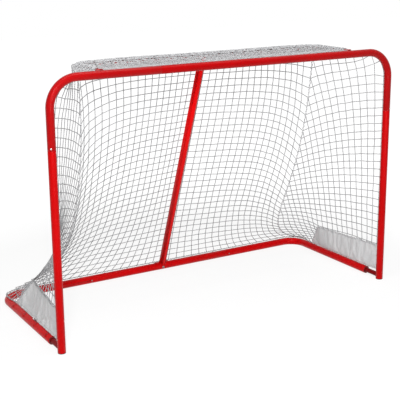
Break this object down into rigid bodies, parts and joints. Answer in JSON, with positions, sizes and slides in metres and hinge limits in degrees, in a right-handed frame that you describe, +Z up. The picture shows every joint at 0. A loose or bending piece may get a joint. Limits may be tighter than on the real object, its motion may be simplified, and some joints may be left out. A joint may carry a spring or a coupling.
{
  "type": "street hockey goal",
  "caption": "Plug-together steel tube hockey goal with bent corners, a top shelf, a sloping centre post, a knotted net and two side skirts.",
  "frame": {"origin": "middle of the goal's footprint, on the floor it stands on", "axes": "+X along the crossbar to the right of someone shooting at the goal, +Y from the mouth to the back, +Z up"},
  "size_m": [1.9176, 0.8286, 1.2678],
  "materials": {
    "paint": "glossy red powder coat",
    "zinc": "zinc plated, slightly dull",
    "plastic": "black moulded plastic",
    "net_cord": "pale grey twisted polyethylene twine",
    "skirt_cloth": "pale grey woven polyester, creased"
  },
  "bodies": {
    "goal": {"left_post": "paint", "right_post": "paint", "left_foot_plug": "plastic", "right_foot_plug": "plastic", "left_corner_tube": "paint", "right_corner_tube": "paint", "crossbar_middle": "paint", "left_base_corner": "paint", "right_base_corner": "paint", "left_side_tube_bush": "plastic", "right_side_tube_bush": "plastic", "base_back_tube": "paint", "left_shelf_bar": "paint", "right_shelf_bar": "paint", "shelf_tee": "paint", "centre_post": "paint", "centre_post_saddle": "paint", "saddle_bolt": "zinc", "saddle_nut": "zinc", "left_post_coupler": "zinc", "right_post_coupler": "zinc", "left_crossbar_coupler": "zinc", "right_crossbar_coupler": "zinc", "left_base_coupler": "zinc", "right_base_coupler": "zinc", "left_post_button_clip": "zinc", "right_post_button_clip": "zinc", "left_crossbar_button_clip": "zinc", "right_crossbar_button_clip": "zinc", "left_base_button_clip": "zinc", "right_base_button_clip": "zinc", "net_back": "net_cord", "net_top": "net_cord", "net_left_side": "net_cord", "net_right_side": "net_cord", "left_seam_cord": "net_cord", "right_seam_cord": "net_cord", "left_skirt": "skirt_cloth", "right_skirt": "skirt_cloth"},
    "left_post_button": {"left_post_snap_button": "zinc"},
    "right_post_button": {"right_post_snap_button": "zinc"},
    "left_crossbar_button": {"left_crossbar_snap_button": "zinc"},
    "right_crossbar_button": {"right_crossbar_snap_button": "zinc"},
    "left_base_button": {"left_base_snap_button": "zinc"},
    "right_base_button": {"right_base_snap_button": "zinc"}
  },
  "joints": [
    {"name": "left_post_button_press", "type": "slide", "parent": "goal", "child": "left_post_button", "axis": [0.5, 0.866, 0], "range_m": [0, 0.0045], "stiffness_N_per_m": 4000},
    {"name": "right_post_button_press", "type": "slide", "parent": "goal", "child": "right_post_button", "axis": [-0.5, 0.866, 0], "range_m": [0, 0.0045], "stiffness_N_per_m": 4000},
    {"name": "left_crossbar_button_press", "type": "slide", "parent": "goal", "child": "left_crossbar_button", "axis": [0, -1, 0], "range_m": [0, 0.0045], "stiffness_N_per_m": 4000},
    {"name": "right_crossbar_button_press", "type": "slide", "parent": "goal", "child": "right_crossbar_button", "axis": [0, -1, 0], "range_m": [0, 0.0045], "stiffness_N_per_m": 4000},
    {"name": "left_base_button_press", "type": "slide", "parent": "goal", "child": "left_base_button", "axis": [0, 1, 0], "range_m": [0, 0.0045], "stiffness_N_per_m": 4000},
    {"name": "right_base_button_press", "type": "slide", "parent": "goal", "child": "right_base_button", "axis": [0, 1, 0], "range_m": [0, 0.0045], "stiffness_N_per_m": 4000}
  ]
}
